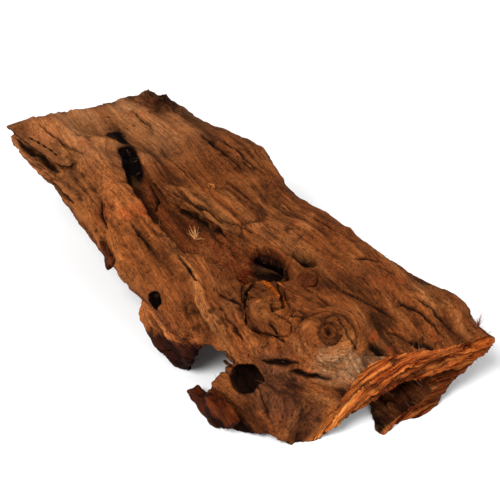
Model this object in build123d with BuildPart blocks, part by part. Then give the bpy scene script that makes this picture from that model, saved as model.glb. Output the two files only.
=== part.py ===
from build123d import *
import os

# Bogwood cave ornament: a weathered, hollow length of root wood that stands over a cave.
# X runs along the grain towards the sawn end, Y across it and Z up; every size is in millimetres.
# The outlines are laid out in a working frame whose X zero lies near the trough. SHIFT brings the
# finished pieces to the shared frame, whose origin is the middle of the box's underside.

# ---------------------------------------------------------------- driving dimensions
SHIFT = (-22.92, -0.87, 0.0)
FAR_END_X = -163
SAWN_END_X = 200
SAWN_END_SKEW = 0.15
KNOT_GAP = 0.3
CRACK = 1.4

# Trunk outlines in (y, z) at each station along x, over the top: left foot, left flank, left rim,
# crown, right half, right shoulder, right edge, right side, right foot.
TRUNK_STATIONS = {
    -190: [(-88, 98), (-106, 105), (-86, 113), (-42, 110), (-9, 105), (16, 99), (30, 91), (30, 85),
           (20, 84)],
    -165: [(-85, 90), (-98, 101), (-82, 109), (-38, 106), (-4, 104), (26, 102), (41, 93), (39, 85),
           (28, 80)],
    -140: [(-82, 82), (-96, 92), (-74, 104), (-34, 102), (2, 102), (40, 102), (53, 94), (49, 84), (34, 77)],
    -90: [(-78, 64), (-90, 76), (-66, 97), (-32, 97), (10, 97), (52, 98), (62, 86), (54, 74), (36, 62)],
    -60: [(-77, 54), (-89, 67), (-62, 93), (-32, 94), (12, 94), (64, 96), (76, 83), (62, 70), (40, 54)],
    -30: [(-77, 47), (-88, 59), (-58, 90), (-32, 90), (14, 90), (66, 92), (75, 78), (63, 62), (43, 48)],
    10: [(-80, 40), (-90, 54), (-58, 84), (-34, 84), (16, 84), (56, 84), (67, 68), (60, 52), (46, 36)],
    60: [(-80, 32), (-88, 48), (-54, 77), (-22, 77), (20, 78), (62, 79), (75, 62), (66, 42), (48, 22)],
    110: [(-88, -3), (-82, 34), (-48, 69), (-16, 70), (28, 71), (70, 74), (82, 57), (68, 26), (48, -3)],
    150: [(-84, -3), (-70, 26), (-42, 58), (-10, 64), (32, 66), (78, 68), (90, 55), (70, 20), (46, -3)],
    185: [(-62, -3), (-44, 20), (-18, 48), (10, 58), (46, 60), (86, 61), (98, 53), (69, 16), (43, -3)],
    235: [(-36, -3), (-24, 20), (-3, 42), (20, 50), (56, 53), (96, 55), (106, 48), (68, 14), (41, -3)],
}
# Cave outlines in (y, z), over the roof: left foot, left wall, left haunch, roof, roof, right haunch,
# right wall, floor lip, right foot. At the sawn end the cave runs into the hollow of the lower lobe.
CAVE_STATIONS = {
    30: [(-66, -20), (-64, 8), (-54, 30), (-28, 41), (4, 42), (28, 37), (38, 20), (40, 6), (42, -20)],
    100: [(-68, -20), (-64, 10), (-52, 32), (-26, 44), (6, 46), (32, 40), (46, 22), (46, 6), (44, -20)],
    150: [(-66, -20), (-52, 6), (-36, 26), (-14, 36), (8, 39), (34, 36), (48, 22), (40, 7), (26, -20)],
    200: [(-51, -20), (-38, 2), (-20, 13), (-4, 20), (14, 29), (34, 29), (45, 19), (28, 10), (2, -20)],
    240: [(-49, -20), (-36, 2), (-20, 11), (-4, 18), (14, 27), (34, 27), (45, 18), (26, 10), (-2, -20)],
}
# The trough in the crown at each station along x: middle y, half width, depth and rim height.
TROUGH_STATIONS = {
    -98: (-27, 6, 10, 99),
    -62: (-36, 9, 16, 94),
    -32: (-41, 12, 18, 90),
    0: (-39, 18, 20, 86),
    30: (-34, 22, 21, 81),
    60: (-25, 19, 22, 78),
    86: (-14, 12, 16, 73),
}
# The ragged root leg under the left wall at each height: middle x, middle y, half length, half thickness.
LEFT_ROOT_STATIONS = {
    46: (65, -77, 38, 8),
    30: (56, -79, 39, 8),
    12: (50, -78, 33, 7),
    0: (64, -75, 13, 6),
}
# The root under the slab's far end, at each height, in the same order.
REAR_ROOT_STATIONS = {
    76: (-74, 6, 34, 24),
    40: (-80, 10, 25, 17),
    14: (-84, 13, 20, 13),
    0: (-86, 14, 22, 15),
}
# The gap between the left wall and its pillar, in (x, z), and the depth of wall it cuts away.
ARCH_GAP = [
    (24, 12), (44, 24), (70, 37), (85, 43), (108, 46), (122, 46), (129, 42), (123, 28), (107, -9), (24, -9)
]
ARCH_WALL = (-112, -58)
# The lower lobe of the sawn end: x start, y start and the height of the joint with the trunk.
LOBE_START = (116, -1)
LOBE_JOINT_Z = 18
LOBE_END_X = 211
# The block of an old branch stub in the crown, in (x, y): its whole outline and its three blocks.
STUB_OUTLINE = [(90, -22), (94, -11), (108, -12), (138, -24), (158, -43), (146, -54), (128, -59), (100, -38)]
STUB_WEDGE_LEFT = [(80, -24), (91, -6), (124, -24), (117, -31), (96, -42)]
STUB_WEDGE_RIGHT = [(91, -4), (110, -4), (148, -22), (125, -34), (126, -24)]
STUB_BLOCK = [(98, -44), (118, -31.5), (124, -35), (150, -25), (170, -44), (146, -62), (122, -68)]
STUB_DEPTH = 9

# Knot positions with their tilt, and knot radius, tip radius and depth.
ROUND_KNOT_AT = Location((162, -12, 62.2), (14, 18, 0))
ROUND_KNOT = (9.0, 6.0, 16.0)
SMALL_KNOT_AT = Location((110, 9, 70.5), (0, 8, 0))
SMALL_KNOT = (6.5, 4.5, 12.0)

# Thin pieces as outlines: plane origin, plane x direction, plane normal, points and thickness.
CREST_NUB = [(-2, -16), (-3, 4), (3, 11), (12, 6), (21, 9), (31, 2), (38, -16)]
ROOT_FLAKE = [
    (99, 0), (98, 4), (103, 9), (114, 11), (127, 19), (138, 22), (148, 20), (158, 16), (152, 8), (134, 0)
]
HANGING_SLIVER = [(-24, 70), (0, 64), (-5, 54), (-8, 56), (-11, 49), (-17, 57)]
GAP_TWIG = [(133, 44), (135, 40), (130, 37), (120, 36), (119.5, 38), (127, 39)]
TROUGH_SPLINTERS = [(-9, -6), (-8, 2), (-12, 7), (-6, 4), (-2, 10), (-1, 3), (5, 8), (4, 1), (8, -6)]
CORNER_SPLINTERS = [(-5, -6), (-5, 2), (-8, 7), (-3, 4), (0, 10), (2, 3), (6, 5), (6, -6)]
PALE_CHIP = [(0, 0), (3.5, -1.6), (7, 0.4), (5, 2.6), (1, 2.2)]
UPPER_PLATE = [(0, 0), (16, 0), (44, 4), (72, 11), (76, 22), (0, 26)]
LOWER_PLATE = [(0, 0), (22, -1), (56, 4), (88, 9), (88, 22), (0, 26)]
PLATE_THICKNESS = 3.2
PLATE_TILT = 0.14


def ovoid(length, height):
    """An egg of that length along X, as high and as wide as height."""
    with BuildPart() as egg:
        with BuildSketch(Plane.XY):
            Ellipse(length / 2, height / 2)
            Rectangle(length, height, align=(Align.CENTER, Align.MAX), mode=Mode.SUBTRACT)
        revolve(axis=Axis.X)
    return egg.part


def knot(radius, tip_radius, depth, gap=0.0):
    """A knot: a short cone of wood that narrows downwards; gap widens it for its socket."""
    with BuildPart() as cone:
        Cone(tip_radius + gap, radius + gap, depth + gap, align=(Align.CENTER, Align.CENTER, Align.MAX))
    return cone.part


def plate(plane, points, thickness, grow=0.0):
    """A flat piece of wood of that outline, as thick on both sides of the plane."""
    with BuildPart() as slab:
        with BuildSketch(plane):
            with BuildLine():
                Polyline(*points, close=True)
            make_face()
            if grow:
                offset(amount=grow, kind=Kind.INTERSECTION)
        extrude(amount=thickness / 2, both=True)
    return slab.part


def root(stations):
    """A root: ovals lofted from the top down to the floor."""
    with BuildPart() as limb:
        for z, (x, y, half_length, half_thickness) in stations.items():
            with BuildSketch(Plane.XY.offset(z)):
                with Locations((x, y)):
                    Ellipse(half_length, half_thickness)
        loft()
    return limb.part


# ---------------------------------------------------------------- the whole trunk, before it is split
with BuildPart() as whole:
    for x, points in TRUNK_STATIONS.items():
        with BuildSketch(Plane.YZ.offset(x)):
            with BuildLine():
                Spline(*points)
                Line(points[-1], points[0])
            make_face()
    loft()
    for x, points in CAVE_STATIONS.items():
        with BuildSketch(Plane.YZ.offset(x)):
            with BuildLine():
                Spline(*points)
                Line(points[-1], points[0])
            make_face()
    loft(mode=Mode.SUBTRACT)
    for x, (middle, half_width, depth, rim) in TROUGH_STATIONS.items():
        with BuildSketch(Plane.YZ.offset(x)):
            with Locations((middle, rim + 2)):
                Ellipse(half_width, depth)
    loft(mode=Mode.SUBTRACT)
    # the tunnel at the trough's far end dives under the crown and comes out below
    with Locations(Location((-116, -28, 74), (0, -34, 0))):
        add(ovoid(84, 15), mode=Mode.SUBTRACT)
    # the hole in the middle: a funnel, the hole through it, and the hollow under the lip beside it
    with Locations(Location((82, -12, 65), (0, 8, 20))):
        add(ovoid(40, 33), mode=Mode.SUBTRACT)
    with Locations(Location((94, -3, 54), (0, 74, 20))):
        add(ovoid(60, 15), mode=Mode.SUBTRACT)
    with Locations(Location((84, 16, 67), (0, 8, 14))):
        add(ovoid(40, 14), mode=Mode.SUBTRACT)
    # the gap in the left wall, and the hole behind its pillar
    wall_plane = Plane((0, sum(ARCH_WALL) / 2, 0), (1, 0, 0), (0, -1, 0))
    add(plate(wall_plane, ARCH_GAP, ARCH_WALL[1] - ARCH_WALL[0]), mode=Mode.SUBTRACT)
    with Locations(Location((141, -64, 34), (0, 24, 84))):
        add(ovoid(48, 19), mode=Mode.SUBTRACT)
    # the small hole where the root leg leaves the left wall
    with Locations(Location((51, -80, 54), (0, 8, 84))):
        add(ovoid(44, 14), mode=Mode.SUBTRACT)
    split(bisect_by=Plane((FAR_END_X, 0, 100), z_dir=(1, 0.03, 0.1)), keep=Keep.TOP)
    split(bisect_by=Plane.XY, keep=Keep.TOP)

# ---------------------------------------------------------------- the lower lobe and the trunk proper
with BuildPart() as lobe_zone:
    with Locations((LOBE_START[0], LOBE_START[1], -1)):
        Box(200, 200, LOBE_JOINT_Z + 1, align=(Align.MIN, Align.MIN, Align.MIN))

with BuildPart() as hollow_lobe:
    add(whole.part)
    add(lobe_zone.part, mode=Mode.INTERSECT)
    split(bisect_by=Plane.YZ.offset(LOBE_END_X), keep=Keep.BOTTOM)

with BuildPart() as trunk:
    add(whole.part)
    add(lobe_zone.part, mode=Mode.SUBTRACT)
    split(bisect_by=Plane((SAWN_END_X, 0, 0), z_dir=(1, -SAWN_END_SKEW, 0)), keep=Keep.BOTTOM)
    add(plate(Plane.XY.offset(70), STUB_OUTLINE, 2 * STUB_DEPTH), mode=Mode.SUBTRACT)
    with Locations(ROUND_KNOT_AT):
        add(knot(*ROUND_KNOT, gap=KNOT_GAP), mode=Mode.SUBTRACT)
    with Locations(SMALL_KNOT_AT):
        add(knot(*SMALL_KNOT, gap=KNOT_GAP), mode=Mode.SUBTRACT)

pieces = {"trunk": trunk.part, "hollow_lobe": hollow_lobe.part}

# ---------------------------------------------------------------- knots and the cracked branch stub
with BuildPart() as round_knot:
    with Locations(ROUND_KNOT_AT):
        add(knot(*ROUND_KNOT))
pieces["round_knot"] = round_knot.part

with BuildPart() as small_knot:
    with Locations(SMALL_KNOT_AT):
        add(knot(*SMALL_KNOT))
pieces["small_knot"] = small_knot.part

with BuildPart() as stub:
    add(whole.part)
    add(plate(Plane.XY.offset(70), STUB_OUTLINE, 2 * STUB_DEPTH, grow=-CRACK / 2), mode=Mode.INTERSECT)

for name, outline in (
    ("stub_wedge_left", STUB_WEDGE_LEFT),
    ("stub_wedge_right", STUB_WEDGE_RIGHT),
    ("stub_block", STUB_BLOCK),
):
    with BuildPart() as wedge:
        add(stub.part)
        add(plate(Plane.XY.offset(70), outline, 4 * STUB_DEPTH, grow=-CRACK / 4), mode=Mode.INTERSECT)
    pieces[name] = wedge.part

# ---------------------------------------------------------------- roots, flakes and splinters
side = Plane((0, -87, 0), (1, 0, 0), (0, -1, 0))
outer_side = Plane((0, -90, 0), (1, 0, 0), (0, -1, 0))
gap_side = Plane((0, -71, 0), (1, 0, 0), (0, -1, 0))
crest_plane = Plane((-148, 21, 104), (0.83, 0.555, 0), (0.555, -0.83, 0))
tuft_plane = Plane((17, -27, 68), (1, 0.3, 0), (0.3, -1, 0))
corner_plane = Plane((204, 92, 53), (0.3, 1, 0), (1, -0.3, 0))
chip_plane = Plane((-18, 4, 88.5), (1, 0.4, 0), (0, 0, 1))
upper_plane = Plane((-168, -97, 107), (1, 0.03, -PLATE_TILT), (PLATE_TILT, 0, 1))
lower_plane = Plane((-158, -97, 96), (1, 0.05, -PLATE_TILT), (PLATE_TILT, 0, 1))
for name, solid in (
    ("left_root", root(LEFT_ROOT_STATIONS)),
    ("rear_root", root(REAR_ROOT_STATIONS)),
    ("crest_nub", plate(crest_plane, CREST_NUB, 13)),
    ("root_flake", plate(side, ROOT_FLAKE, 9)),
    ("hanging_sliver", plate(outer_side, HANGING_SLIVER, 5)),
    ("gap_twig", plate(gap_side, GAP_TWIG, 2)),
    ("trough_splinters", plate(tuft_plane, TROUGH_SPLINTERS, 2)),
    ("corner_splinters", plate(corner_plane, CORNER_SPLINTERS, 2)),
    ("pale_chip", plate(chip_plane, PALE_CHIP, 3)),
    ("upper_plate", plate(upper_plane, UPPER_PLATE, PLATE_THICKNESS)),
    ("lower_plate", plate(lower_plane, LOWER_PLATE, PLATE_THICKNESS)),
):
    with BuildPart() as limb:
        add(solid)
        add(whole.part, mode=Mode.SUBTRACT)
    parts = limb.part.solids()
    pieces[name] = max(parts, key=lambda body: body.volume) if len(parts) > 1 else limb.part

# ---------------------------------------------------------------- move to the shared frame and export
os.makedirs("parts", exist_ok=True)
box = None
for name, solid in pieces.items():
    with BuildPart() as finished:
        with Locations(SHIFT):
            add(solid)
    finished.part.label = name
    export_step(finished.part, "parts/" + name + ".step")
    own = finished.part.bounding_box()
    print(name, len(finished.part.solids()), round(finished.part.volume), finished.part.is_valid, own)
    box = own if box is None else box.add(own)
print("whole", box)
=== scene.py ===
"""Bogwood cave ornament: the looks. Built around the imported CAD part, in metres."""

import math

import bpy
import numpy as np
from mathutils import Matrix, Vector
from mathutils.bvhtree import BVHTree


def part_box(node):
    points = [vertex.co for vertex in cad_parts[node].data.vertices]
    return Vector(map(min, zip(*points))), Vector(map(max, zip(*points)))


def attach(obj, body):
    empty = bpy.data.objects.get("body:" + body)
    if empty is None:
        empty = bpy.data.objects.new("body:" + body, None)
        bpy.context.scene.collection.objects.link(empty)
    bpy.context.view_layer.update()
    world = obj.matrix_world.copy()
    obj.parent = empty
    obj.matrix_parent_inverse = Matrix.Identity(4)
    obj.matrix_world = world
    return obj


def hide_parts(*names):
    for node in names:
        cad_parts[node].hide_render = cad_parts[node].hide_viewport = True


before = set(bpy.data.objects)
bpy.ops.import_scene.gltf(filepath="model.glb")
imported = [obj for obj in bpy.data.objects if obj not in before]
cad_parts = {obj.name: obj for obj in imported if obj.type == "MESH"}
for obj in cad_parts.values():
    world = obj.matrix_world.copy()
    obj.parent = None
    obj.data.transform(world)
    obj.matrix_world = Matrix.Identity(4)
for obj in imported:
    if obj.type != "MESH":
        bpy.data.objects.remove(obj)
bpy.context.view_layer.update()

MM = 0.001
# The layout below is in millimetres from a point on the floor. The round knot's CAD box says where it is.
KNOT_IN_LAYOUT = (160.96, -11.62)
knot_low, knot_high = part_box("round_knot")
ORIGIN = np.array(
    [
        (knot_low[0] + knot_high[0]) / 2 / MM - KNOT_IN_LAYOUT[0],
        (knot_low[1] + knot_high[1]) / 2 / MM - KNOT_IN_LAYOUT[1],
        0.0,
    ]
)
SLOPE = 0.14  # the slab falls this much towards the sawn end
SAWN_X, SAWN_SKEW = 200.0, 0.15
# The top edge of the sawn end, from the front foot round to the far corner, rises steeply and flattens out.
RIM_START, RIM_WIDTH, RIM_HEIGHT, RIM_BEND = -50, 140, 60, 4.5
SAWN_EDGE = [
    (0, RIM_START + RIM_WIDTH * t, RIM_HEIGHT * (1 - (1 - t) ** RIM_BEND))
    for t in np.linspace(0, 1, 13) ** 1.5
]
ROUND_KNOT = (162, -12)  # middle in the layout
RING_RADIUS = 20.5
BODY_NODES = ("trunk", "hollow_lobe", "crest_nub", "upper_plate", "lower_plate")
BODY_VOXEL, QUICK_VOXEL, PIECE_VOXEL, SMALL_VOXEL = 0.0010, 0.0022, 0.0009, 0.0004
BODY_TRIANGLES, PIECE_TRIANGLES = 190000, 30000
HAIRS = 520


# ---------------------------------------------------------------- numbers and noise
def step(low, high, value):
    t = np.clip((value - low) / (high - low), 0.0, 1.0)
    return t * t * (3 - 2 * t)


def lattice(ix, iy, iz, seed):
    n = (
        ix.astype(np.uint32) * np.uint32(374761393)
        + iy.astype(np.uint32) * np.uint32(668265263)
        + iz.astype(np.uint32) * np.uint32(2246822519)
        + np.uint32(seed * 144665 + 97)
    )
    n = (n ^ (n >> np.uint32(13))) * np.uint32(1274126177)
    n = n ^ (n >> np.uint32(16))
    return n.astype(np.float64) / 2147483648.0 - 1.0


def noise(points, seed):
    """Smooth noise from -1 to 1 with lumps one unit wide."""
    base = np.floor(points)
    f = points - base
    f = f * f * f * (f * (f * 6 - 15) + 10)
    base = base.astype(np.int64)
    total = np.zeros(len(points))
    for dx in (0, 1):
        wx = f[:, 0] if dx else 1 - f[:, 0]
        for dy in (0, 1):
            wy = f[:, 1] if dy else 1 - f[:, 1]
            for dz in (0, 1):
                wz = f[:, 2] if dz else 1 - f[:, 2]
                total += wx * wy * wz * lattice(base[:, 0] + dx, base[:, 1] + dy, base[:, 2] + dz, seed)
    return total


def lumps(points, size, seed, octaves=2):
    total = np.zeros(len(points))
    weight, norm = 1.0, 0.0
    for o in range(octaves):
        total += weight * noise(points / size * 2**o, seed + o)
        norm += weight
        weight *= 0.5
    return total / norm


def colour(code):
    """sRGB hex to linear."""
    values = [int(code[i : i + 2], 16) / 255 for i in (1, 3, 5)]
    return np.array([v / 12.92 if v <= 0.04045 else ((v + 0.055) / 1.055) ** 2.4 for v in values])


# ---------------------------------------------------------------- meshes
def deselect():
    bpy.ops.object.select_all(action="DESELECT")


def activate(obj):
    deselect()
    obj.select_set(True)
    bpy.context.view_layer.objects.active = obj


def new_object(name, verts, faces):
    mesh = bpy.data.meshes.new(name)
    mesh.from_pydata([tuple(v) for v in verts], [], faces)
    mesh.update()
    obj = bpy.data.objects.new(name, mesh)
    bpy.context.scene.collection.objects.link(obj)
    return obj


def apply_modifier(obj, kind, **settings):
    activate(obj)
    m = obj.modifiers.new(kind.lower(), kind)
    for key, value in settings.items():
        setattr(m, key, value)
    bpy.ops.object.modifier_apply(modifier=m.name)


def node_copy(name, nodes):
    """One object with merged copies of these CAD nodes."""
    verts, faces = [], []
    for node in nodes:
        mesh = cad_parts[node].data
        start = len(verts)
        verts += [v.co.copy() for v in mesh.vertices]
        faces += [[start + i for i in p.vertices] for p in mesh.polygons]
    obj = new_object(name, verts, faces)
    activate(obj)
    bpy.ops.object.mode_set(mode="EDIT")
    bpy.ops.mesh.select_all(action="SELECT")
    bpy.ops.mesh.remove_doubles(threshold=0.00001)
    bpy.ops.object.mode_set(mode="OBJECT")
    return obj


def join(objs):
    deselect()
    for o in objs:
        o.select_set(True)
    bpy.context.view_layer.objects.active = objs[0]
    bpy.ops.object.join()
    return objs[0]


def read(obj):
    mesh = obj.data
    co = np.empty(len(mesh.vertices) * 3)
    mesh.vertices.foreach_get("co", co)
    normal = np.empty(len(mesh.vertices) * 3)
    mesh.vertex_normals.foreach_get("vector", normal)
    return co.reshape(-1, 3) / MM - ORIGIN, normal.reshape(-1, 3)


def write(obj, points):
    points[:, 2] = np.maximum(points[:, 2], 0.0)
    obj.data.vertices.foreach_set("co", ((points + ORIGIN) * MM).astype(np.float32).ravel())
    obj.data.update()


def attribute(obj, name, kind, values):
    layer = obj.data.attributes.new(name, kind, "POINT")
    field = {"FLOAT_COLOR": "color", "FLOAT_VECTOR": "vector", "FLOAT": "value"}[kind]
    layer.data.foreach_set(field, np.ascontiguousarray(values, dtype=np.float32).ravel())


# ---------------------------------------------------------------- the grain
# What the grain runs round: x, y, radius.
GRAIN_KNOTS = (
    (162, -12, 24),
    (109, 8, 9),
    (122, -34, 13),
    (84, -12, 15),
    (-90, -30, 12),
    (-70, 10, 4),
    (195, 5, 8),
)


def grain(p):
    """Coordinates that follow the fibres: along them, across them and up through them."""
    x, y, z = p.T
    wall = step(-42, -72, y)
    up = z + SLOPE * x + 0.17 * wall * x
    across = y.copy()
    crown = step(28, 44, z)
    for kx, ky, radius in GRAIN_KNOTS:
        dx, dy = x - kx, y - ky
        across -= crown * dy * radius**2 / (dx * dx + dy * dy + 0.45 * radius**2)
    across += 5.0 * lumps(p, 62, 11) + 1.6 * lumps(p, 21, 12)
    up += 4.0 * lumps(p, 58, 13) + 1.4 * lumps(p, 23, 14)
    return np.stack([x, across, up], 1)


def fibre(g, length, width, seed):
    return noise(g / np.array([length, width, width]), seed)


# ---------------------------------------------------------------- cracks
# Each crack is a stroke: the middle of it, length, turn in degrees, width and depth. Its height is the
# skin's own. On the crown the middle is in (x, y), turned from the grain's run along x.
CROWN_CRACKS = (
    (150, 30, 55, 20, 0.8, 3.0),
    (200, 40, 20, 55, 2.0, 7.0),
    (190, 10, 20, 0, 1.8, 5.0),
    (100, -50, 30, 20, 0.8, 4.0),
    (120, 55, 25, 50, 0.8, 3.0),
    (135, 60, 20, 25, 0.8, 3.0),
    (-125, -70, 60, 15, 0.8, 2.5),
    (10, -10, 90, 20, 1.0, 3.5),
    (10, -20, 55, 15, 0.8, 3.0),
    (60, -40, 30, 15, 0.9, 3.0),
    (165, 0, 35, -10, 0.9, 3.0),
    (125, 5, 30, 10, 0.7, 2.5),
    (-125, 35, 55, 10, 0.9, 3.0),
    (-50, 35, 65, 5, 0.9, 3.5),
    (-35, 45, 65, 5, 0.8, 3.0),
    (140, -40, 20, 5, 0.9, 3.0),
    (80, 55, 45, 10, 0.7, 2.5),
    (185, 65, 40, 25, 0.8, 2.5),
    (180, 55, 45, 20, 0.8, 2.5),
    (105, -45, 20, -30, 0.8, 3.0),
    (90, -35, 20, -40, 0.7, 2.5),
    (120, -60, 35, 0, 0.7, 2.5),
    (140, -20, 20, 45, 0.7, 2.5),
    (190, 30, 20, 40, 0.9, 3.0),
    (60, -60, 40, 0, 0.8, 3.0),
    (10, -70, 45, -5, 0.7, 2.5),
    (-125, 5, 35, 5, 0.8, 3.0),
)
# On the left wall the middle is in (x, z): splits between the far end's layers, then the near wall's.
LEFT_CRACKS = (
    (-130, 100, 75, -10, 1.4, 4.0),
    (-130, 95, 55, -10, 1.3, 4.0),
    (-95, 80, 50, -10, 0.9, 4.0),
    (-40, 80, 30, -25, 1.0, 3.5),
    (175, 45, 25, -10, 1.0, 5.0),
    (155, 50, 20, 5, 1.3, 5.0),
    (160, 25, 25, -45, 0.8, 3.0),
)


def stroke(x, y, length, turn, bow=0.0):
    """A line of that length about its middle, turned, and bent sideways by bow at its middle."""
    t = np.linspace(-0.5, 0.5, 5)
    run, side = length * t, bow * (1 - 4 * t * t)
    c, s = math.cos(math.radians(turn)), math.sin(math.radians(turn))
    return np.stack([x + run * c - side * s, y + run * s + side * c, 0 * t], 1)


def plan(a, b):
    """Points of a plane, from two of their coordinates."""
    return np.stack([a, b, 0 * a], 1)


def jitter(p, size, first, second):
    """A sideways wander for an outline's edge."""
    return plan(lumps(p, size, first), lumps(p, size, second))


def to_line(p, points):
    """Distance to a run of straight pieces, and how far along it the nearest point is, 0 to 1."""
    points = np.array(points, float)
    lengths = np.linalg.norm(np.diff(points, axis=0), axis=1)
    total, done = lengths.sum(), 0.0
    best, along = np.full(len(p), 1e9), np.zeros(len(p))
    for a, b, length in zip(points[:-1], points[1:], lengths):
        t = np.clip((p - a) @ (b - a) / length**2, 0, 1)
        d = np.linalg.norm(p - a - t[:, None] * (b - a), axis=1)
        near = d < best
        best[near] = d[near]
        along[near] = (done + t[near] * length) / total
        done += length
    return best, along


def within(p, outline, soft):
    """1 inside the outline seen from above, falling to 0 over this many mm."""
    x, y = p[:, 0], p[:, 1]
    inside = np.zeros(len(p), bool)
    a = np.array(outline, float)
    for (x0, y0), (x1, y1) in zip(a, np.roll(a, -1, 0)):
        crosses = (y0 > y) != (y1 > y)
        inside ^= crosses & (x < (x1 - x0) * (y - y0) / (y1 - y0 + 1e-9) + x0)
    closed = np.concatenate([a, a[:1]])
    d = to_line(plan(x, y), plan(closed[:, 0], closed[:, 1]))[0]
    return step(-soft, soft, np.where(inside, d, -d))


def crack_depth(p, n):
    depth = np.zeros(len(p))
    wander = 1.8 * np.stack([lumps(p, 9, 31), lumps(p, 9, 32), lumps(p, 9, 33)], 1)
    fray = 1 + 0.45 * noise(p / 6.0, 36)
    x, y, z = (p + wander).T
    crown = step(-0.1, 0.3, n[:, 2]) * step(35, 45, p[:, 2])
    wall = step(0.0, 0.4, -n[:, 1]) * step(-20, -35, p[:, 1])
    for cracks, plane, facing in ((CROWN_CRACKS, plan(x, y), crown), (LEFT_CRACKS, plan(x, z), wall)):
        for mx, my, length, turn, width, deep in cracks:
            d, along = to_line(plane, stroke(mx, my, length, turn))
            taper = np.sqrt(np.clip(4 * along * (1 - along), 0, 1)) * fray
            cut = deep * np.minimum(taper, 1) * np.exp(-((d / (width * taper + 0.15)) ** 2))
            depth = np.maximum(depth, facing * cut)
    return depth


# ---------------------------------------------------------------- the body: one sculpted skin
# Broad forms on the crown, as strokes seen from above: height, half width, then middle x and y, length,
# turn in degrees and bow.
FORMS = (
    (4.5, 8, -85, -70, 130, 0, 15),
    (-3.5, 9, -105, -85, 110, 0, 0),
    (-5.0, 13, -110, -20, 65, 30, 0),
    (4.0, 7, -85, -25, 50, 20, 5),
    (-4.0, 14, -5, 25, 95, 15, 0),
    (2.0, 5, 5, -5, 75, 20, 0),
    (-2.6, 7, 120, 30, 110, 15, 0),
    (2.2, 6, 85, -25, 35, 45, 0),
    (2.0, 5, 110, -5, 30, -15, 0),
    (-2.0, 7, 110, -50, 50, 5, 0),
    (2.4, 6, 155, -50, 60, 15, 0),
    (-2.2, 8, 185, 10, 35, -20, 0),
    (2.6, 4, -125, -75, 80, 5, 0),
    (2.6, 5, -80, -90, 80, 5, 0),
    (2.5, 5, -30, -75, 60, -15, 0),
    (-3.0, 5, -65, -70, 35, -20, 0),
    (3.0, 9, -100, 15, 65, 20, 0),
    (2.6, 8, 5, -60, 100, 0, 0),
    (-2.4, 7, 30, -70, 60, 10, 0),
    (2.0, 6, 195, 25, 25, -10, 0),
)
# The tunnel's middle line, then the outlines of the funnel, the trough's lip and the slot from above.
TUNNEL = ((-93, -27, 92), (-80, -30, 88), (-68, -35, 84))
FUNNEL = ((70, -35), (90, -35), (95, -10), (100, 0), (80, 10), (65, 5), (60, -15))
TROUGH_LIP = ((-75, -35), (-50, -50), (0, -57), (40, -55), (60, -40), (0, -42), (-70, -30))
SLOT = ((65, 13), (85, 26), (100, 26), (95, 16), (75, 12))
# Pits: x, y, z, radius, depth.
PITS = (
    (-90, -28, 96, 7.5, 3.5),
    (-78, -32, 88, 6.5, 1.0),
    (94, -3, 66, 9.0, 8.0),
    (78, -14, 64, 9.0, 3.0),
    (107, 12, 70, 3.6, 4.0),
    (-70, 10, 96, 3.5, 2.2),
    (-60, -80, 80, 3.0, 3.0),
    (-150, 20, 104, 3.0, 3.5),
    (30, -45, 82, 2.5, 1.5),
    (125, 40, 71, 3.0, 2.0),
    (162, -12, 63, 2.0, 2.2),
)


def from_knot(x, y):
    """Distance from the middle of the round knot, whose rings are slightly oval."""
    return np.hypot(x - ROUND_KNOT[0], (y - ROUND_KNOT[1]) * 1.05)


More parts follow.
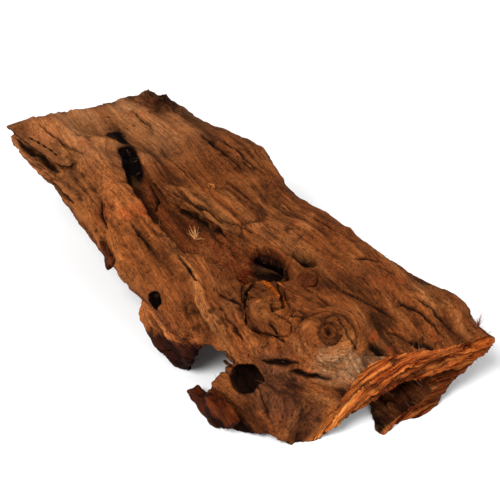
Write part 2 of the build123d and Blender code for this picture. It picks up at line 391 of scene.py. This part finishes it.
def sculpt(obj, amount=1.0, seed=0):
    """Moves the skin by its forms, grain, lumps and cracks, and keeps what the colours need."""
    p, n = read(obj)
    g = grain(p)
    x, y, z = p.T
    end = step(-5, -1, x - SAWN_SKEW * y - SAWN_X) * step(0.45, 0.75, n[:, 0])
    side = 1 - end
    crown = step(40, 50, z + SLOPE * (x - 162)) * step(-0.1, 0.4, n[:, 2])
    calm = 1 - 0.4 * step(-20, -90, x) * crown
    ridges = 1.5 * fibre(g, 120, 13, 41 + seed)
    ribs = 0.95 * fibre(g, 62, 4.8, 42 + seed)
    threads = 0.6 * fibre(g, 30, 2.3, 43 + seed)
    broad = 2.4 * lumps(p, 36, 44 + seed) + 1.5 * lumps(p, 13, 45 + seed) + 0.5 * lumps(p, 5, 48 + seed)
    check = 1 - step(0.0, 0.08, np.abs(fibre(g, 75, 9, 46 + seed)))
    check *= step(0.05, 0.35, lumps(p, 40, 47 + seed))
    pores = step(0.45, 0.8, noise(p / np.array([5.5, 3.0, 3.0]), 49 + seed))
    pores *= step(-0.2, 0.5, lumps(p, 45, 50))
    crack = crack_depth(p, n)
    # rings round the big knot, and a small raised eye at its centre
    r = from_knot(x, y) + 0.8 * lumps(p, 9, 51)
    on_knot = crown * step(33, 27, r)
    rings = 0.16 * np.cos(r * 2 * math.pi / 3.1) * step(9, 14, r)
    rings = on_knot * (rings - 1.1 * np.exp(-(((r - RING_RADIUS) / 1.3) ** 2)))
    rings += crown * (1.5 * np.exp(-(((r - 4.6) / 1.5) ** 2)) - 0.9 * np.exp(-(((r - 7.8) / 1.0) ** 2)))
    gnarl = 1.3 * crown * step(60, 95, x) * step(60, 40, y) * lumps(p, 8, 53) * (1 - 0.6 * on_knot)
    mound = gnarl + 2.4 * on_knot * step(30, 12, r)
    form = np.zeros(len(p))
    for height, half, mx, my, length, turn, bow in FORMS:
        away = to_line(plan(x, y), stroke(mx, my, length, turn, bow))[0]
        form += height * np.exp(-((away / half) ** 2))
    # frayed edges where the sides turn
    ragged = (1 - np.abs(n[:, 2])) * side * 1.6 * lumps(p, 5.5, 52 + seed)
    fibres = (ridges + calm * (ribs + threads)) * (1 - 0.55 * on_knot)
    d = side * (fibres - 1.5 * check - 0.9 * pores + ragged)
    d += crown * side * form + side * (mound + rings)
    d += broad * (0.3 + 0.7 * side) - crack
    d *= 1 - 0.85 * step(14, 8, to_line(p, TUNNEL)[0])
    d = amount * d
    # thin plates at the far edge keep their thickness
    thin = np.nonzero((x < -50) & ((y < -50) | (y > 30)) | (x < -145))[0]
    if len(thin):
        tree = BVHTree.FromObject(obj, bpy.context.evaluated_depsgraph_get())
        for i in thin:
            start = Vector((p[i] + ORIGIN) * MM)
            hit = tree.ray_cast(start - Vector(n[i]) * 0.0002, -Vector(n[i]), 0.03)
            if hit[3] is not None:
                d[i] = max(d[i], -0.32 * hit[3] / MM)
    moved = p + n * d[:, None]
    wall = trough_mask(p, n) * step(0.1, 0.5, n[:, 1]) * step(2, 8, 88 - SLOPE * x - z)
    moved[:, 1] -= amount * 5.0 * wall * step(70, 40, x) * step(-66, -56, x)
    for px, py, pz, radius, depth in PITS:
        q = np.exp(-((((x - px) ** 2 + (y - py) ** 2 + (z - pz) ** 2 * 0.25) / radius**2) ** 1.5))
        moved[:, 2] -= amount * depth * q * step(-0.1, 0.3, n[:, 2])
    hole = within(p + 1.6 * jitter(p, 8, 91, 92), FUNNEL, 2.2)
    hole *= step(0.0, 0.25, n[:, 2]) * step(45, 52, z) * amount
    bottom = 58 + 0.22 * np.hypot(x - 92, y + 6) + 1.2 * lumps(p, 9, 93)
    moved[:, 2] += hole * (np.minimum(moved[:, 2], bottom) - moved[:, 2])
    lip = within(p + 1.5 * jitter(p, 11, 96, 97), TROUGH_LIP, 1.8)
    lip *= step(0.0, 0.25, n[:, 2]) * step(45, 52, z) * amount
    shelf = 77 - SLOPE * x + 0.3 * np.abs(y + 40)
    moved[:, 2] += lip * (np.minimum(moved[:, 2], shelf) - moved[:, 2])
    notch = within(p + 0.8 * jitter(p, 5, 94, 95), SLOT, 1.6)
    moved[:, 2] -= notch * step(0.0, 0.25, n[:, 2]) * step(45, 52, z) * amount * 8.5
    # torn fibres on the sawn end, in layers that follow the edge of the slab
    depth_in, along = to_line(p * np.array([0, 1, 1]), SAWN_EDGE)
    depth_in = depth_in + 1.2 * lumps(p, 14, 64)
    torn = np.stack([along * 3.4, depth_in / 1.5, x / 9], 1)
    coarse = np.stack([along * 5.0, depth_in / 4.2, x / 14], 1)
    split = 1 - step(0.0, 0.16, np.abs(noise(np.stack([along * 2.6, depth_in / 3.6, x / 30], 1), 66)))
    out = 1.1 * noise(torn, 61) + 2.6 * noise(coarse, 62) + 0.9 * lumps(p, 4, 63) - 3.0 * split
    moved[:, 0] += end * out
    # the slab's torn lower lip hangs down in uneven teeth
    teeth = end * step(6, 13, depth_in) * step(14, 26, z)
    moved[:, 2] -= teeth * 2.4 * np.abs(noise(p / 3.2, 67))
    cavity = 0.5 + 0.30 * calm * (ribs + threads + 0.6 * ridges) + 0.25 * rings + 0.12 * broad
    cavity += -0.7 * check - 0.4 * pores
    cavity = np.clip(cavity - 0.35 * crack, 0, 1)
    torn = np.stack([along * 3.4, depth_in / 1.5, split + crack * 0.5], 1)
    write(obj, moved)
    return moved, n, g, end, cavity, torn, crack, crown * form


# Patches of colour: x, y, z, radius, strength, colour.
PATCHES = (
    (-120, -20, 100, 40, 0.55, "#8E5C38"),
    (-60, -70, 90, 34, 0.55, "#8A5836"),
    (-140, -80, 100, 22, 0.45, "#96603E"),
    (-158, 26, 108, 22, 0.8, "#4A2C1A"),
    (-128, 34, 104, 20, 0.6, "#5A3822"),
    (-70, 38, 98, 20, 0.5, "#5E3A26"),
    (-25, 40, 95, 22, 0.45, "#6B3E26"),
    (-70, 10, 96, 8, 0.6, "#54301C"),
    (-50, -10, 92, 9, 0.6, "#5C2E1A"),
    (-20, 10, 90, 34, 0.4, "#7F4B28"),
    (-40, -76, 80, 14, 0.55, "#6E2E18"),
    (44, 28, 82, 36, 0.45, "#9A6440"),
    (-20, 60, 90, 24, 0.35, "#94603A"),
    (84, 52, 78, 20, 0.4, "#6E3E22"),
    (128, 46, 71, 14, 0.6, "#54301E"),
    (186, 16, 60, 14, 0.5, "#4E3420"),
    (172, 26, 63, 14, 0.6, "#4A301E"),
    (180, 14, 60, 5, 0.8, "#96421C"),
    (176, 19, 61, 4, 0.8, "#9C4820"),
    (175, -45, 35, 4, 0.6, "#96421C"),
    (184, 30, 62, 7, 0.6, "#8A4A22"),
    (165, -6, 62, 15, 0.4, "#6E4424"),
    (190, -8, 50, 13, 0.75, "#7A5C48"),
    (176, -16, 54, 9, 0.55, "#7E604C"),
    (200, 0, 50, 9, 0.7, "#3C281E"),
    (160, -56, 36, 30, 0.7, "#54362A"),
    (182, -46, 18, 22, 0.65, "#4E3024"),
    (110, -78, 10, 26, 0.6, "#4A2A1A"),
    (28, -30, 72, 16, 0.5, "#3C1A0E"),
    (40, -30, 70, 22, 0.5, "#6E3418"),
    (10, -44, 78, 12, 0.45, "#5A2A14"),
    (100, -56, 66, 12, 0.4, "#5A3826"),
    (206, 70, 58, 16, 0.45, "#6E4426"),
    (146, 60, 70, 22, 0.4, "#7E4A2C"),
)


def paint(p, n, g, end, cavity, crack, split, form):
    """Base colours by place, as if airbrushed before the fine grain, with painted shade in the trough,
    tunnel, funnel, slot, holes, cracks, hollows and undersides and painted highlights on the ridges, and the
    sawn end's own tint.
    """
    x, y, z = p.T
    base = np.tile(colour("#744425"), (len(p), 1))

    def lay(code, mask):
        m = np.clip(mask, 0, 1)[:, None]
        base[:] = base * (1 - m) + colour(code) * m

    blot = lumps(p, 30, 71)
    streak = fibre(g, 90, 8, 72)
    fine = fibre(g, 40, 3.0, 76)
    lay("#9C7458", step(-40, -120, x) * 0.8)
    lay("#95613A", step(0.0, 0.7, blot) * 0.5)
    lay("#A8754C", step(0.2, 0.8, streak) * 0.45)
    lay("#4E2A16", step(0.15, 0.75, -streak) * 0.5)
    lay("#4A2411", step(0.2, 0.8, -fine) * 0.35)
    lay("#8C5630", step(-50, -70, y) * step(95, 20, x) * 0.5)
    mottle = lumps(p, 7, 78, 3)
    for px, py, pz, radius, strength, code in PATCHES:
        far = np.sqrt((x - px) ** 2 + (y - py) ** 2 + (z - pz) ** 2) / radius
        lay(code, step(1.05, 0.35, far + 0.45 * mottle) * strength)
    nub = (np.array(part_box("crest_nub")) / MM - ORIGIN).mean(0)
    lay("#43271A", step(1.2, 0.6, np.linalg.norm(p - nub, axis=1) / 16 + 0.3 * mottle) * 0.8)
    lay("#8A4222", step(0.45, 0.75, lumps(p, 18, 74)) * 0.45)
    lay("#3A1E12", step(0.4, 0.8, lumps(p, 12, 75)) * 0.6)
    # the trough: red-brown floor, with painted shade near black along its left wall and deepening towards
    # the far end, and the tunnel's mouth painted black as painted shade
    trough = trough_mask(p, n)
    lay("#5A2E17", trough * 0.75)
    left_wall = -52 + 0.0024 * (np.clip(x, -90, 45) - 10) ** 2
    lay("#1E0B04", trough * step(left_wall + 13, left_wall + 3, y) * 0.9)
    lay("#2C1208", trough * step(-45, -75, x) * 0.6)
    seen = plan(x, y)
    tunnel_line = [(-120, -22, 0)] + [(a, b, 0) for a, b, c in TUNNEL]
    # painted shade: the tunnel's mouth is painted near black
    tunnel_mouth_shade = step(9.0, 7.0, to_line(seen, tunnel_line)[0] + 0.8 * mottle)
    lay("#060201", tunnel_mouth_shade * (z > 20) * step(98, 94, z + SLOPE * (x + 90)))
    # the funnel and the slot beside it, with painted shade: near black down the funnel's shaded side, dark
    # inside the cave under it and near black along the slot's far side
    funnel = within(p, FUNNEL, 2.0) * step(75, 71.5, z + SLOPE * (x - 85))
    funnel *= (n[:, 2] > -0.4) * step(40, 46, z)
    lay("#54210E", funnel * 0.92)
    shade = np.maximum(step(70, 82, x + 0.55 * y + 4 * mottle), step(-14, -7, y + 3 * mottle))
    lay("#0A0301", funnel * shade * 0.97)
    # painted shade inside the cave under the funnel
    lay("#1C0A05", within(p, FUNNEL, 5.0) * step(46, 40, z) * step(1, 4, z) * 0.9)
    notch = within(p, SLOT, 1.2) * step(40, 50, z)
    lay("#3A1D10", notch * 0.85)
    # painted shade along the slot's far side
    lay("#0A0301", notch * step(17.5, 20.5, y - 0.1 * (x - 84) + 1.2 * mottle) * 0.96)
    # painted shade: the undersides, the wood low down near the floor and the insides of the holes are
    # painted darker and redder
    lay("#3A1B0D", step(0.1, -0.5, n[:, 2]) * 0.75)
    lay("#40200F", step(22, 4, z) * (1 - end) * 0.5)
    inward = step(-0.8, -0.5, n[:, 1])  # leaves the left wall's outer face alone
    # painted shade inside the foot hole
    foot_hole_shade = step(22, 17, np.abs(x - 139)) * step(47, 42, z) * step(-77, -72, y) * step(0, -14, y) * inward
    lay("#120603", foot_hole_shade * 0.96)
    # painted shadow in the undercut along the bottom of the left wall
    undercut_shade = step(12, 7, z + 0.15 * (x - 135) + 2 * mottle) * step(28, 22, np.abs(x - 150))
    lay("#1A0C06", undercut_shade * step(-52, -60, y) * 0.92)
    # painted shade on the inner face of the pillar beside the arch
    pillar_shade = step(-0.1, -0.5, n[:, 0]) * step(104, 110, x) * step(140, 130, x)
    lay("#24110A", pillar_shade * step(44, 38, z) * (y < -50) * 0.85)
    # painted shade, near black, in the side hole
    side_hole_shade = step(1.3, 1.1, np.hypot((x - 50.5) / 10, (z - 54.5) / 7.5))
    lay("#080201", side_hole_shade * step(-40, -50, y) * inward)
    # painted shade inside the lobe
    lobe_shade = step(176, 186, x) * step(42, 37, z) * step(-28, -20, y) * (1 - end) * step(0.75, 0.55, n[:, 1])
    lay("#2E1409", lobe_shade * 0.8)
    lay("#080201", lobe_shade * step(14, 2, y) * 0.9)
    r = from_knot(x, y) + 0.6 * mottle
    on_crown = crown_mask(p, n)
    lay("#4A2812", on_crown * step(6.5, 4.5, r) * 0.75)
    lay("#150903", on_crown * (np.exp(-(((r - 6.3) / 0.8) ** 2)) * 0.7 + step(2.2, 1.2, r) * 0.9))
    ring = np.exp(-(((r - RING_RADIUS) / 0.9) ** 2)) * step(-30, 10, y + 0.6 * (x - ROUND_KNOT[0]))
    lay("#24120A", on_crown * ring * 0.75)
    # the broken stub: an orange splinter along its right side
    splinter = to_line(seen, ((95, -20, 0), (120, -20, 0)))[0]
    lay("#C4661C", on_crown * step(2.8, 1.6, splinter + 0.8 * mottle) * 0.9)
    lay("#7A4C28", on_crown * step(13, 8, np.hypot(x - 122, y + 35)) * 0.5)
    # the grey fuzz of loose fibres beside the cut
    fuzz = step(15, 5, to_line(seen, ((180, -25, 0), (200, 0, 0)))[0] + 5 * mottle) * (1 - end)
    lay("#7F6450", fuzz * on_crown * 0.45)
    lay("#A08672", fuzz * step(0.0, 0.5, fibre(p, 4.0, 1.0, 79)) * on_crown * 0.6)
    # painted shade in the hollows and checks, and a painted highlight on the raised fibres
    dark = step(0.5, 0.05, cavity)[:, None]
    base *= 1 - 0.66 * dark
    light = step(0.6, 0.95, cavity)[:, None]
    base += light * 0.12 * colour("#C08A5C")
    # painted shade in the cracks
    base *= 1 - 0.85 * step(0.8, 2.4, crack)[:, None]
    # painted shade in the hollows of the broad forms and painted highlights on their rises
    base *= (1 + 0.07 * np.clip(form, -5, 4))[:, None]
    base *= np.array([0.87, 0.70, 0.49])
    # on the sawn end this tints the fibres instead: pale at the front foot, orange then red further round
    band = np.tile(np.array([2.25, 2.35, 2.1]), (len(p), 1))
    t = step(-40, 10, y)[:, None]
    band = band * (1 - t) + np.array([1.85, 1.42, 1.08]) * t
    t = step(20, 70, y)[:, None]
    band = band * (1 - t) + np.array([1.5, 1.12, 0.80]) * t
    gash = step(0.15, 0.5, lumps(p * np.array([1, 0.35, 1]), 9, 81, 3))[:, None]
    band *= 1 - 0.72 * gash
    # painted shade in the splits between the torn layers, then darker low down on the right of the end
    band *= 1 - 0.8 * step(0.3, 0.9, split)[:, None]
    band *= 1 - 0.5 * (step(30, 22, z) * step(-20, 0, y))[:, None]
    return base, band


def trough_mask(p, n):
    """1 in the trough between its two rims."""
    x, y, z = p.T
    middle = -38 + 0.0022 * (x + 5) ** 2 * step(-5, 60, x)
    along = step(-98, -90, x) * step(78, 66, x) * step(25, 18, np.abs(y - middle))
    return along * step(2, 8, 88 - SLOPE * x - z) * (n[:, 2] > -0.3)


def crown_mask(p, n):
    return step(40, 50, p[:, 2] + SLOPE * (p[:, 0] - 162)) * step(-0.1, 0.3, n[:, 2])


# ---------------------------------------------------------------- materials
def node(tree, kind, links=None, stops=None, **settings):
    """Adds a node, sets its properties and inputs, and links what is given."""
    made = tree.nodes.new(kind)
    for key, value in settings.items():
        if hasattr(made, key):
            setattr(made, key, value)
    for key, value in settings.items():
        if not hasattr(made, key):
            made.inputs[key.replace("_", " ")].default_value = value
    if stops:
        ramp = made.color_ramp
        while len(ramp.elements) < len(stops):
            ramp.elements.new(0.5)
        for element, (place, value) in zip(ramp.elements, stops):
            element.position = place
            element.color = (*value, 1) if not isinstance(value, float) else (value, value, value, 1)
    for key, socket in (links or {}).items():
        tree.links.new(socket, made.inputs[key])
    return made


def scaled(tree, socket, length, width):
    """The grain's coordinates in fibres of this length and width, in metres."""
    made = node(tree, "ShaderNodeVectorMath", {0: socket}, operation="MULTIPLY")
    made.inputs[1].default_value = (1 / length, 1 / width, 1 / width)
    return made.outputs[0]


def remap(tree, socket, low, high, to_low, to_high):
    made = node(tree, "ShaderNodeMapRange", {"Value": socket})
    for key, value in (("From Min", low), ("From Max", high), ("To Min", to_low), ("To Max", to_high)):
        made.inputs[key].default_value = value
    return made.outputs[0]


def bogwood(name, roughness=0.78):
    """Weathered root wood: dull and fibrous, with pale short scratches, darker in its checks and paler on
    its raised fibres through the painted shade and painted highlight in the tone it carries.
    """
    material = bpy.data.materials.new(name)
    material.use_nodes = True
    tree = material.node_tree
    tree.nodes.clear()
    base = node(tree, "ShaderNodeAttribute", attribute_name="tone")
    fibres = node(tree, "ShaderNodeAttribute", attribute_name="grain")
    cut = node(tree, "ShaderNodeAttribute", attribute_name="cut")
    torn = node(tree, "ShaderNodeAttribute", attribute_name="torn")
    band = node(tree, "ShaderNodeAttribute", attribute_name="band")
    wear = node(tree, "ShaderNodeAttribute", attribute_name="wear")
    place = node(tree, "ShaderNodeTexCoord")
    object_place = place.outputs["Object"]
    grain_place = fibres.outputs["Vector"]
    # fibres 2.5 mm wide and 60 mm long, and 0.9 mm wide and 22 mm long
    wide = scaled(tree, grain_place, 0.060, 0.0025)
    thin = scaled(tree, grain_place, 0.022, 0.0009)
    wide_noise = node(tree, "ShaderNodeTexNoise", {"Vector": wide}, Scale=1.0, Detail=3.0, Roughness=0.6)
    thin_noise = node(tree, "ShaderNodeTexNoise", {"Vector": thin}, Scale=1.0, Detail=2.0, Roughness=0.6)
    speck = node(
        tree, "ShaderNodeTexNoise", {"Vector": object_place}, Scale=420.0, Detail=3.0, Roughness=0.7
    )
    blot = node(
        tree, "ShaderNodeTexNoise", {"Vector": object_place}, Scale=55.0, Detail=4.0, Roughness=0.65
    )
    # short raised scratches, 12 by 0.7 mm, and pits 1.5 mm across
    short = scaled(tree, grain_place, 0.012, 0.0007)
    scratch = node(tree, "ShaderNodeTexNoise", {"Vector": short}, Scale=1.0, Detail=1.0)
    pale = remap(tree, scratch.outputs["Fac"], 0.60, 0.72, 0.0, 0.9)
    pits = node(tree, "ShaderNodeTexNoise", {"Vector": object_place}, Scale=650.0, Detail=2.0)
    pit = remap(tree, pits.outputs["Fac"], 0.40, 0.28, 0.0, 0.8)
    both = {0: wide_noise.outputs["Fac"], 1: thin_noise.outputs["Fac"]}
    mix_a = node(tree, "ShaderNodeMath", both, operation="ADD")
    both = {0: speck.outputs["Fac"], 1: blot.outputs["Fac"]}
    mix_b = node(tree, "ShaderNodeMath", both, operation="ADD")
    mix_c = node(tree, "ShaderNodeMath", {0: mix_a.outputs[0], 1: mix_b.outputs[0]}, operation="ADD")
    shade = remap(tree, mix_c.outputs[0], 1.55, 2.45, 0.30, 1.75)
    lit = node(tree, "ShaderNodeMath", {0: shade, 1: pale}, operation="ADD")
    pitted = node(tree, "ShaderNodeMath", {0: lit.outputs[0], 1: pit}, operation="SUBTRACT")
    floor_value = node(tree, "ShaderNodeMath", {0: pitted.outputs[0]}, operation="MAXIMUM")
    floor_value.inputs[1].default_value = 0.15
    centred = node(tree, "ShaderNodeMath", {0: floor_value.outputs[0]}, operation="SUBTRACT")
    centred.inputs[1].default_value = 1.0
    both = {0: centred.outputs[0], 1: wear.outputs["Fac"]}
    worn = node(tree, "ShaderNodeMath", both, operation="MULTIPLY_ADD")
    worn.inputs[2].default_value = 1.0
    both = {0: base.outputs["Color"], "Scale": worn.outputs[0]}
    skin = node(tree, "ShaderNodeVectorMath", both, operation="SCALE")
    # the torn sawn end: pale orange fibre in layers
    layers = node(
        tree, "ShaderNodeTexNoise", {"Vector": torn.outputs["Vector"]}, Scale=0.9, Detail=6.0, Roughness=0.75
    )
    fresh = node(
        tree,
        "ShaderNodeValToRGB",
        {"Fac": layers.outputs["Fac"]},
        stops=(
            (0.36, colour("#220C04")),
            (0.44, colour("#6E300F")),
            (0.52, colour("#9C5526")),
            (0.64, colour("#C98A4C")),
        ),
    )
    stained = node(tree, "ShaderNodeMix", data_type="RGBA", blend_type="MULTIPLY")
    stained.inputs[0].default_value = 1.0
    tree.links.new(fresh.outputs["Color"], stained.inputs[6])
    tree.links.new(band.outputs["Color"], stained.inputs[7])
    mixed = node(tree, "ShaderNodeMix", {"Factor": cut.outputs["Fac"]}, data_type="RGBA")
    tree.links.new(skin.outputs[0], mixed.inputs[6])
    tree.links.new(stained.outputs[2], mixed.inputs[7])
    height = node(tree, "ShaderNodeMath", {0: mix_a.outputs[0], 1: speck.outputs["Fac"]}, operation="ADD")
    streaks = node(tree, "ShaderNodeMath", {0: layers.outputs["Fac"]}, operation="MULTIPLY")
    streaks.inputs[1].default_value = 5.0
    both = {"Factor": cut.outputs["Fac"], "A": height.outputs[0], "B": streaks.outputs[0]}
    relief = node(tree, "ShaderNodeMix", both)
    bump = node(tree, "ShaderNodeBump", {"Height": relief.outputs[0]}, Strength=1.0, Distance=0.0013)
    shader = node(
        tree,
        "ShaderNodeBsdfPrincipled",
        {"Base Color": mixed.outputs[2], "Normal": bump.outputs["Normal"]},
        Roughness=roughness,
    )
    shader.inputs["Specular IOR Level"].default_value = 0.05
    node(tree, "ShaderNodeOutputMaterial", {"Surface": shader.outputs[0]})
    return material


weathered = bogwood("weathered bogwood")


def finish_piece(obj, material, nodes):
    obj.data.materials.clear()
    obj.data.materials.append(material)
    for polygon in obj.data.polygons:
        polygon.use_smooth = True
    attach(obj, "root")
    if nodes:
        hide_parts(*nodes)


def wood_piece(obj, nodes, most, amount=1.0, seed=0, tint=(1, 1, 1), swell=0.0):
    """Sculpts and paints one piece, keeps it under this many triangles, and hides the CAD parts it replaces.
    """
    if swell:
        p, n = read(obj)
        write(obj, p + n * (swell * (0.55 + 0.9 * lumps(p, 6, 90)))[:, None])
    moved, n, g, end, cavity, torn, crack, form = sculpt(obj, amount, seed)
    tone, band = paint(moved, n, g, end, cavity, crack, torn[:, 2], form)
    tint = np.tile(np.array(tint, float), (len(tone), 1))
    if obj.name.startswith("left_root"):
        # its upper part wears the same skin as the slab; below it the dark tint stays, partly the root's own
        # dark wood and partly painted shade under the slab
        skin = step(-3, 5, moved[:, 2] - 0.4 * moved[:, 0] - 3 + 4 * lumps(moved, 9, 99))[:, None]
        tint = tint * (1 - skin) + 1.6 * skin
    tone = tone * tint
    attribute(obj, "band", "FLOAT_COLOR", np.concatenate([band, np.ones((len(tone), 1))], 1))
    attribute(obj, "wear", "FLOAT", 1 - 0.25 * step(-20, -100, moved[:, 0]))
    attribute(obj, "tone", "FLOAT_COLOR", np.concatenate([tone, np.ones((len(tone), 1))], 1))
    attribute(obj, "grain", "FLOAT_VECTOR", g * MM)
    attribute(obj, "torn", "FLOAT_VECTOR", torn)
    attribute(obj, "cut", "FLOAT", end)
    triangles = sum(len(f.vertices) - 2 for f in obj.data.polygons)
    if triangles > most:
        apply_modifier(obj, "DECIMATE", ratio=most / triangles)
    finish_piece(obj, weathered, nodes)


# ---------------------------------------------------------------- pieces
body = join([node_copy("weathered_trunk", [BODY_NODES[0]])] + [node_copy(n, [n]) for n in BODY_NODES[1:]])
apply_modifier(body, "REMESH", mode="VOXEL", voxel_size=BODY_VOXEL)
wood_piece(body, BODY_NODES, BODY_TRIANGLES)

# node, slot, seed, how strongly it is carved, swell in mm, tint
for name, slot, seed, amount, swell, tint in (
    # left_root's dark tint is partly its own dark wood and partly painted shade under the slab
    ("left_root", "dark_root", 3, 1.3, 0.0, (0.22, 0.13, 0.10)),
    ("rear_root", "dark_root", 5, 0.8, 0.0, (0.45, 0.36, 0.34)),
    ("root_flake", "dark_root", 7, 1.0, 0.0, (0.62, 0.42, 0.32)),
    ("round_knot", "knot_wood", 9, 0.7, 0.3, (0.9, 0.85, 0.8)),
    ("small_knot", "knot_wood", 10, 0.9, 0.0, (0.55, 0.45, 0.4)),
    ("stub_block", "weathered_wood", 11, 0.6, 0.7, (0.85, 0.85, 0.85)),
    ("stub_wedge_left", "weathered_wood", 12, 0.7, 0.8, (1.1, 1.1, 1.05)),
    ("stub_wedge_right", "knot_wood", 13, 0.7, 0.8, (1.0, 0.95, 0.9)),
    ("hanging_sliver", "dark_root", 14, 0.8, 0.0, (0.35, 0.25, 0.22)),
    ("gap_twig", "dark_root", 15, 0.15, 0.0, (0.5, 0.45, 0.4)),
    ("pale_chip", "pale_splinter", 18, 0.15, 0.0, (3.0, 3.4, 3.4)),
):
    piece = node_copy(name + "_wood", [name])
    voxel = SMALL_VOXEL if name in ("gap_twig", "pale_chip") else PIECE_VOXEL
    apply_modifier(piece, "REMESH", mode="VOXEL", voxel_size=voxel)
    wood_piece(piece, [name], PIECE_TRIANGLES, amount, seed, tint, swell)

# ---------------------------------------------------------------- loose fibres
# Fine hairs of wood that stand off the skin: one mesh of thin three-sided curved strands.
rng = np.random.default_rng(7)


def tuft(node_name, name, count, radius, code):
    """Splinters fanning out of one spot, inside the CAD node's box."""
    low, high = np.array(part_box(node_name)) / MM - ORIGIN
    root = np.array([(low[0] + high[0]) / 2, (low[1] + high[1]) / 2, low[2] + 0.5])
    tips = rng.uniform(0.04, 0.96, (count, 3)) * (high - low) + low
    tips[:, 2] = low[2] + (high[2] - low[2]) * rng.uniform(0.45, 0.95, count)
    ways = tips - root
    far = np.linalg.norm(ways, axis=1)
    shades = colour(code) * rng.uniform(0.5, 1.3, (count, 1))
    obj = strands(name, [root + w * 0.05 for w in ways], ways, far * 0.9, radius, shades, 0.0, 0.12)
    finish_piece(obj, dry_fibre, [node_name])


def strands(name, roots, directions, lengths, radius, tones, lift, curl=0.22):
    """One mesh of closed, tapering, curved strands, each with its own shade."""
    verts, faces, shades = [], [], []
    for root, direction, length, tone in zip(roots, directions, lengths, tones):
        axis = direction / np.linalg.norm(direction)
        side = np.cross(axis, rng.normal(size=3))
        side /= np.linalg.norm(side)
        other = np.cross(axis, side)
        bend = rng.normal(size=3) * curl
        start = len(verts)
        for k in range(5):
            t = k / 4
            centre = root + axis * length * t + (bend * t * t + np.array([0, 0, lift]) * t) * length
            r = radius * (1 - 0.85 * t)
            for q in range(3):
                a = q * 2 * math.pi / 3
                verts.append((centre + side * r * math.cos(a) + other * r * math.sin(a) + ORIGIN) * MM)
                shades.append((*tone, 1.0))
        for k in range(4):
            for q in range(3):
                a, b = start + 3 * k + q, start + 3 * k + (q + 1) % 3
                faces.append((a, b, b + 3, a + 3))
        faces.append((start + 2, start + 1, start))
        faces.append((start + 12, start + 13, start + 14))
    obj = new_object(name, verts, faces)
    attribute(obj, "tone", "FLOAT_COLOR", shades)
    return obj


def fibre_material():
    """Dry wood fibre: the colour each strand carries."""
    material = bpy.data.materials.new("dry wood fibre")
    material.use_nodes = True
    tree = material.node_tree
    tree.nodes.clear()
    tone = node(tree, "ShaderNodeAttribute", attribute_name="tone")
    shader = node(tree, "ShaderNodeBsdfPrincipled", {"Base Color": tone.outputs["Color"]}, Roughness=0.7)
    node(tree, "ShaderNodeOutputMaterial", {"Surface": shader.outputs[0]})
    return material


dry_fibre = fibre_material()
skin_points, skin_normals = read(body)
x, y, z = skin_points.T
top = skin_normals[:, 2] > 0.1
near_cut = np.exp(-(((x - SAWN_SKEW * y - 199) / 9) ** 2)) * (z > 6)
left_edge = np.exp(-((skin_normals[:, 2] / 0.35) ** 2)) * (z > 12) * 0.8
right_edge = np.exp(-((skin_normals[:, 2] / 0.35) ** 2)) * (y > 30) * (z > 30)
patch = np.exp(-((np.hypot(x - 186, y + 6) / 13) ** 2)) * top * (x < 200) * 6
weight = (0.10 + 1.2 * near_cut + left_edge + right_edge + patch) * (skin_normals[:, 2] > -0.5) * (z > 8)
chosen = rng.choice(len(x), HAIRS, replace=False, p=weight / weight.sum())
roots = skin_points[chosen] - skin_normals[chosen] * 0.3
along = np.tile([1.0, 0.0, -SLOPE], (len(chosen), 1)) * rng.choice([-1, 1], len(chosen))[:, None]
outward = skin_normals[chosen] * rng.uniform(0.1, 0.8, (len(chosen), 1))
directions = along + outward + rng.normal(size=(len(chosen), 3)) * 0.45
tones = colour("#8A5A36") * rng.uniform(0.25, 1.5, (len(chosen), 1))
hairs = strands("loose_fibres", roots, directions, rng.uniform(2.5, 8.0, len(chosen)), 0.16, tones, 0.1)
finish_piece(hairs, dry_fibre, None)
tuft("trough_splinters", "trough_tuft", 22, 0.45, "#D99A5C")
tuft("corner_splinters", "corner_tuft", 16, 0.40, "#7A4222")

# ---------------------------------------------------------------- floor, light, camera
bpy.ops.mesh.primitive_plane_add(size=6.0, location=(0, 0, 0))
floor = bpy.context.object
floor.name = "floor"
paper = bpy.data.materials.new("matt white paper")
paper.use_nodes = True
paper.node_tree.nodes["Principled BSDF"].inputs["Base Color"].default_value = (0.92, 0.92, 0.92, 1)
paper.node_tree.nodes["Principled BSDF"].inputs["Roughness"].default_value = 0.9
floor.data.materials.append(paper)

world = bpy.data.worlds.new("studio")
bpy.context.scene.world = world
world.use_nodes = True
world.node_tree.nodes["Background"].inputs["Color"].default_value = (1, 1, 1, 1)
world.node_tree.nodes["Background"].inputs["Strength"].default_value = 0.45


def softbox(name, place, aim, size, power):
    data = bpy.data.lights.new(name, "AREA")
    data.shape = "SQUARE"
    data.size = size
    data.energy = power
    lamp = bpy.data.objects.new(name, data)
    bpy.context.scene.collection.objects.link(lamp)
    lamp.location = place
    lamp.rotation_euler = (Vector(aim) - Vector(place)).to_track_quat("-Z", "Y").to_euler()


softbox("key", (1.0, -2.2, 2.9), (0, 0, 0.05), 1.6, 155)
softbox("fill", (2.6, 0.6, 2.0), (0, 0, 0.05), 1.8, 36)

azimuth, elevation, distance = math.radians(55), math.radians(35), 0.901
aim = Vector((65 + ORIGIN[0], 10 + ORIGIN[1], 50)) * MM  # just past the object's middle
back = Vector(
    (math.sin(azimuth) * math.cos(elevation), -math.cos(azimuth) * math.cos(elevation), math.sin(elevation))
)
camera_data = bpy.data.cameras.new("camera")
camera_data.lens = 85
camera_data.sensor_width = 36
camera_data.shift_x = -0.048
camera_data.shift_y = 0.044
camera = bpy.data.objects.new("camera", camera_data)
bpy.context.scene.collection.objects.link(camera)
camera.location = aim + back * distance
camera.rotation_euler = (-back).to_track_quat("-Z", "Y").to_euler()
bpy.context.scene.camera = camera

bpy.context.scene.view_settings.view_transform = "Standard"
